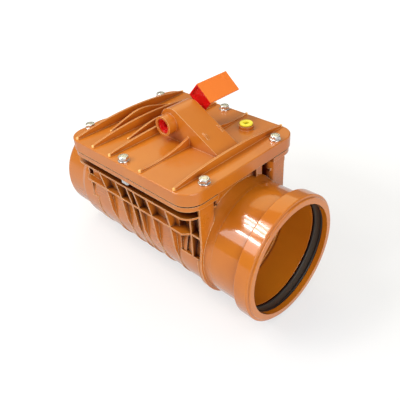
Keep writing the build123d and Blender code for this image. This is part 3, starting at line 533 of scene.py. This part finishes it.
def screwHead():
    head = hexagonBlank()
    editAll(head)
    for rise in (screw["height"], lift):
        bpy.ops.mesh.extrude_region_move(TRANSFORM_OT_translate={"value": (0, 0, rise)})
    bpy.ops.object.mode_set(mode="OBJECT")
    # the turned chamfer: a round inner ring, and corners that fall away from it
    top = screw["base"] + screw["height"]
    for vertex in head.data.vertices:
        reach = math.hypot(vertex.co.x, vertex.co.y)
        if vertex.co.z > top + lift / 2:
            scale = screw["chamferR"] / reach
            vertex.co = (vertex.co.x * scale, vertex.co.y * scale, top)
        elif vertex.co.z > top - lift / 2:
            vertex.co.z = top - (reach - screw["chamferR"]) * math.tan(math.radians(screw["chamfer"]))
    bpy.ops.object.mode_set(mode="EDIT")
    selectLevel(head, top)
    bpy.ops.mesh.edge_face_add()
    bpy.ops.mesh.inset(thickness=screw["chamferR"] - screw["dishR"])
    bpy.ops.mesh.inset(thickness=screw["dishSlope"], depth=-screw["dishDepth"])
    bpy.ops.mesh.inset(thickness=screw["dishFloor"], depth=screw["dishRise"])
    selectLevel(head, screw["base"])
    bpy.ops.mesh.edge_face_add()
    bpy.ops.object.mode_set(mode="OBJECT")
    outwards(head)
    return head


def screwThread():
    # one groove's outline, turned and repeated down the shank
    pitch = screw["pitch"]
    low = screw["tip"] + screw["threadFrom"]
    crestFrom, crestTo = screw["crest"]
    profile = [(screw["coreR"], low), (screw["shankR"], low + pitch * crestFrom),
               (screw["shankR"], low + pitch * crestTo), (screw["coreR"], low + pitch)]
    thread = drawn("thread", [(r, 0, z) for r, z in profile], [(0, 1), (1, 2), (2, 3)])
    turned = thread.modifiers.new("turned", "SCREW")
    turned.angle = 2 * math.pi
    turned.screw_offset = pitch
    turned.iterations = int((screw["threadTop"] - screw["tip"]) / pitch) - 1
    turned.steps = screw["threadSteps"]
    turned.render_steps = screw["threadSteps"]
    turned.use_merge_vertices = True
    applyModifiers(thread)
    return thread


def screwShank():
    base, threadTop, tip = screw["base"], screw["threadTop"], screw["tip"]
    plain = addCylinder(screw["shankSides"], screw["shankR"], base - threadTop + 2 * screw["overlap"],
                        (base + threadTop) / 2)
    thread = screwThread()
    core = addCylinder(screw["coreSides"], screw["coreR"] + screw["coreOverlap"], threadTop - tip,
                       (threadTop + tip) / 2)
    return [plain, thread, core]


clearSelection()
headPiece = screwHead()
addBevel(headPiece, *screw["edge"])
oneScrew = joined([headPiece] + screwShank(), "oneScrew")
screwCopies = []
for number, (x, y, turn) in enumerate(screw["places"]):
    twin = copyOf(oneScrew, f"screw{number}")
    twin.data.transform(Matrix.Translation((x, y, 0)) @ Matrix.Rotation(math.radians(turn), 4, "Z"))
    screwCopies.append(twin)
bpy.data.objects.remove(oneScrew)
lidScrews = joined(screwCopies, "lidScrewsTurned")
smoothByAngle(lidScrews, screw["smooth"])
wear(lidScrews, screwSteel)
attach(lidScrews, "valve")
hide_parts("lid_screws")
print("lid screws modelled")

# profiles are (x, radius) in metres; edge: width, segments and least angle, as on the screw
seal = {"profile": ((-0.0083, 0.0883), (-0.0242, 0.0883), (-0.0242, 0.0832), (-0.0231, 0.0816),
                    (-0.0218, 0.0811), (-0.0208, 0.0812), (-0.0203, 0.0824), (-0.0128, 0.0821),
                    (-0.0123, 0.0812), (-0.0112, 0.0810), (-0.0098, 0.0813), (-0.0085, 0.0823)),
        "steps": 128, "edge": (0.00025, 2, 25), "smooth": 40}
sealRing = spunRing("sealLips", seal["profile"], seal["steps"])
addBevel(sealRing, *seal["edge"])
smoothByAngle(sealRing, seal["smooth"])
wear(sealRing, lipRubber)
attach(sealRing, "valve")
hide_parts("socket_seal")
print("socket seal modelled")

# outside: neck, steep wall, thick ring, step and rim; inside: mouth, seal's groove, bore and stop
bell = {"outside": ((-0.0700, 0.0829), (-0.0700, 0.0849), (-0.0270, 0.0849), (-0.0238, 0.0921),
                    (-0.0232, 0.0928), (-0.0222, 0.0931), (-0.0040, 0.0931), (-0.0032, 0.0926),
                    (-0.0028, 0.0917), (-0.0025, 0.0896), (-0.0010, 0.0892), (-0.0002, 0.0888),
                    (0.0, 0.0880), (0.0, 0.0806)),
        "inside": ((-0.0080, 0.0806), (-0.0080, 0.0886), (-0.0245, 0.0886), (-0.0245, 0.0806),
                   (-0.0760, 0.0806), (-0.0760, 0.0829)),
        "steps": 192, "edge": (0.0005, 3, 32), "smooth": 40}
bellRing = spunRing("socketBell", bell["outside"] + bell["inside"], bell["steps"])
addBevel(bellRing, *bell["edge"])
smoothByAngle(bellRing, bell["smooth"])
evenNormals(bellRing)
wear(bellRing, socketOrange)
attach(bellRing, "valve")
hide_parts("inlet_socket", "socket_collar")
print("socket modelled")

# ribs: the X of those that run out at ribY on either side; humps: (x, y) where two low ribs end
ribEnd = {"ribs": (-0.3070, -0.2690, -0.2310, -0.1675, -0.1040), "ribY": 0.1044, "top": 0.1255,
          "humps": ((-0.2886, 0.0580), (-0.2495, 0.0570)), "humpTop": 0.1238,
          "radius": 0.0019, "sides": 24, "foot": 0.1213, "round": 0.0011, "roundSteps": 4, "smooth": 40}


def ribEndStub(top):
    # a rounded stub like the ones that close the lid's ribs
    stub = addCylinder(ribEnd["sides"], ribEnd["radius"], top - ribEnd["foot"], (top + ribEnd["foot"]) / 2)
    bpy.ops.object.mode_set(mode="EDIT")
    bpy.ops.mesh.select_all(action="DESELECT")
    mesh = bmesh.from_edit_mesh(stub.data)
    for edge in mesh.edges:
        edge.select_set(all(vertex.co.z > top - sameSpot for vertex in edge.verts))
    bpy.ops.mesh.bevel(offset=ribEnd["round"], segments=ribEnd["roundSteps"])
    bpy.ops.object.mode_set(mode="OBJECT")
    outwards(stub)
    return stub


clearSelection()
stubCopies = []
for places, top in (([(x, ribEnd["ribY"]) for x in ribEnd["ribs"]], ribEnd["top"]),
                    (ribEnd["humps"], ribEnd["humpTop"])):
    oneStub = ribEndStub(top)
    for x, y in places:
        for side in (-1, 1):
            twin = copyOf(oneStub, "stub")
            twin.data.transform(Matrix.Translation((x, side * y, 0)))
            stubCopies.append(twin)
    bpy.data.objects.remove(oneStub)
ribEnds = joined(stubCopies, "ribEnds")
smoothByAngle(ribEnds, ribEnd["smooth"])
wear(ribEnds, ribTipHighlight)
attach(ribEnds, "valve")
print("rib ends modelled")

# lens and sensor in millimetres; right, up and back are the camera's own axes
camera = {"place": (0.26562, -0.41040, 0.44510), "lens": 43.81, "sensor": 36, "nearest": 0.01,
          "right": (0.71248, 0.69936, -0.05715), "up": (-0.37278, 0.44626, 0.81357),
          "back": (0.59448, -0.55835, 0.57866)}
lensData = bpy.data.cameras.new("photoCamera")
lensData.lens = camera["lens"]
lensData.sensor_width = camera["sensor"]
lensData.clip_start = camera["nearest"]
cameraObject = addObject("photoCamera", lensData)
turn = Matrix((camera["right"], camera["up"], camera["back"])).transposed().to_4x4()
cameraObject.matrix_world = Matrix.Translation(camera["place"]) @ turn
bpy.context.scene.camera = cameraObject

# bounce, seen: grey of the paper for other light and for the camera; lift: the camera's extra
# brightness from near to far around the part's middle; mirrored: what gloss sees
floor = {"level": -0.0931, "size": 14, "middle": (-0.10, 0.05), "near": 0.30, "far": 0.95,
         "bounce": 0.80, "seen": 0.36, "liftNear": 0.59, "liftFar": 1.0, "mirrored": 0.72}


def greyPaper(tree, tone):
    paper = tree.nodes.new("ShaderNodeBsdfDiffuse")
    paper.inputs["Color"].default_value = (tone, tone, tone, 1)
    return paper.outputs[0]


def shaderMix(tree, amount, first, second):
    mix = tree.nodes.new("ShaderNodeMixShader")
    for value, socket in zip((amount, first, second), mix.inputs):
        tree.links.new(value, socket)
    return mix.outputs[0]


def floorMaterial():
    material = bpy.data.materials.new("paleFloor")
    material.use_nodes = True
    tree = material.node_tree
    tree.nodes.clear()
    output = tree.nodes.new("ShaderNodeOutputMaterial")
    coords = tree.nodes.new("ShaderNodeTexCoord")
    away = tree.nodes.new("ShaderNodeVectorMath")
    away.operation = "DISTANCE"
    away.inputs[1].default_value = (*floor["middle"], floor["level"])
    tree.links.new(coords.outputs["Object"], away.inputs[0])
    glow = tree.nodes.new("ShaderNodeEmission")
    strength = mapped(tree, away.outputs["Value"], (floor["near"], floor["far"]),
                      (floor["liftNear"], floor["liftFar"]))
    tree.links.new(strength, glow.inputs["Strength"])
    lifted = tree.nodes.new("ShaderNodeAddShader")
    tree.links.new(greyPaper(tree, floor["seen"]), lifted.inputs[0])
    tree.links.new(glow.outputs[0], lifted.inputs[1])
    mirrored = tree.nodes.new("ShaderNodeEmission")
    mirrored.inputs["Strength"].default_value = floor["mirrored"]
    rays = tree.nodes.new("ShaderNodeLightPath")
    unseen = shaderMix(tree, rays.outputs["Is Glossy Ray"], greyPaper(tree, floor["bounce"]),
                       mirrored.outputs[0])
    surface = shaderMix(tree, rays.outputs["Is Camera Ray"], unseen, lifted.outputs[0])
    tree.links.new(surface, output.inputs[0])
    return material


clearSelection()
bpy.ops.mesh.primitive_plane_add(size=floor["size"], location=(0, 0, floor["level"]))
ground = bpy.context.object
ground.name = "floor"
applyPlace(ground)
wear(ground, floorMaterial())

# ambient lights the part, seen is the white behind it, and mirrored is what gloss and glass see
studio = {"ambient": 0.26, "seen": 1.0, "mirrored": 0.20}


def whiteSky(tree):
    sky = tree.nodes.new("ShaderNodeBackground")
    sky.inputs["Color"].default_value = (1, 1, 1, 1)
    return sky


def greatest(tree, first, second):
    most = tree.nodes.new("ShaderNodeMath")
    most.operation = "MAXIMUM"
    tree.links.new(first, most.inputs[0])
    tree.links.new(second, most.inputs[1])
    return most.outputs[0]


def studioWorld():
    world = bpy.data.worlds.new("studio")
    world.use_nodes = True
    tree = world.node_tree
    tree.nodes.clear()
    output = tree.nodes.new("ShaderNodeOutputWorld")
    ambient = whiteSky(tree)
    ambient.inputs["Strength"].default_value = studio["ambient"]
    backdrop = whiteSky(tree)
    rays = tree.nodes.new("ShaderNodeLightPath")
    shiny = greatest(tree, rays.outputs["Is Glossy Ray"], rays.outputs["Is Transmission Ray"])
    direct = greatest(tree, shiny, rays.outputs["Is Camera Ray"])
    strength = mapped(tree, shiny, (0, 1), (studio["seen"], studio["mirrored"]))
    tree.links.new(strength, backdrop.inputs["Strength"])
    tree.links.new(shaderMix(tree, direct, ambient.outputs[0], backdrop.outputs[0]), output.inputs[0])
    return world


bpy.context.scene.world = studioWorld()

# place, aim and size in metres, power in watts
lamps = {
    "keyPanel": {"place": (-0.845, -1.150, 0.880), "aim": (-0.10, -0.06, 0.05),
                 "size": (0.75, 0.55), "power": 4.2},
    "topPanel": {"place": (0.15, -0.05, 1.50), "aim": (-0.15, 0, 0.0),
                 "size": (1.3, 1.3), "power": 6.0},
    "frontFill": {"place": (1.20, -0.55, 0.60), "aim": (-0.10, 0, 0.0),
                  "size": (0.9, 0.9), "power": 15.0},
    "keyEdge": {"place": (-0.87, -1.00, 1.05), "aim": (-0.10, -0.06, 0.05),
                "size": (0.72, 0.08), "power": 6.0},
    "backPanel": {"place": (-0.987, 0.736, 1.251), "aim": (-0.05, -0.05, 0.07),
                  "size": (1.58, 0.975), "power": 5.6, "colour": (1.0, 0.89, 0.50)},
    "windowGlow": {"place": (-0.85, -0.62, 1.40), "aim": (-0.03, -0.05, 0.07),
                   "size": (0.55, 0.60), "power": 4.2, "colour": (1.0, 0.94, 0.80)},
    "windowBarA": {"place": (-0.816, -0.395, 1.422), "aim": (-0.03, -0.04, 0.08),
                   "size": (0.25, 0.060), "power": 1.1},
    "windowBarB": {"place": (-0.812, -0.577, 1.362), "aim": (-0.03, -0.05, 0.07),
                   "size": (0.25, 0.075), "power": 1.4},
    "windowBarC": {"place": (-0.808, -0.751, 1.276), "aim": (-0.03, -0.05, 0.07),
                   "size": (0.25, 0.085), "power": 1.7},
}
barDirection = Vector((0.144, -0.165, 0.0)).normalized()  # the window's bars lie along this


def lampTurn(name, towards):
    if not name.startswith("windowBar"):
        return towards.to_track_quat("-Z", "Y").to_matrix()
    back = -towards.normalized()
    side = (barDirection - back * barDirection.dot(back)).normalized()
    return Matrix((side, back.cross(side), back)).transposed()


for name, lamp in lamps.items():
    data = bpy.data.lights.new(name, "AREA")
    data.shape = "RECTANGLE"
    data.size, data.size_y = lamp["size"]
    data.energy = lamp["power"]
    data.color = lamp.get("colour", (1, 1, 1))
    light = addObject(name, data)
    place = Vector(lamp["place"])
    turn = lampTurn(name, Vector(lamp["aim"]) - place)
    light.matrix_world = Matrix.Translation(place) @ turn.to_4x4()
print("camera, floor and lights set")

bpy.context.scene.view_settings.view_transform = "Standard"
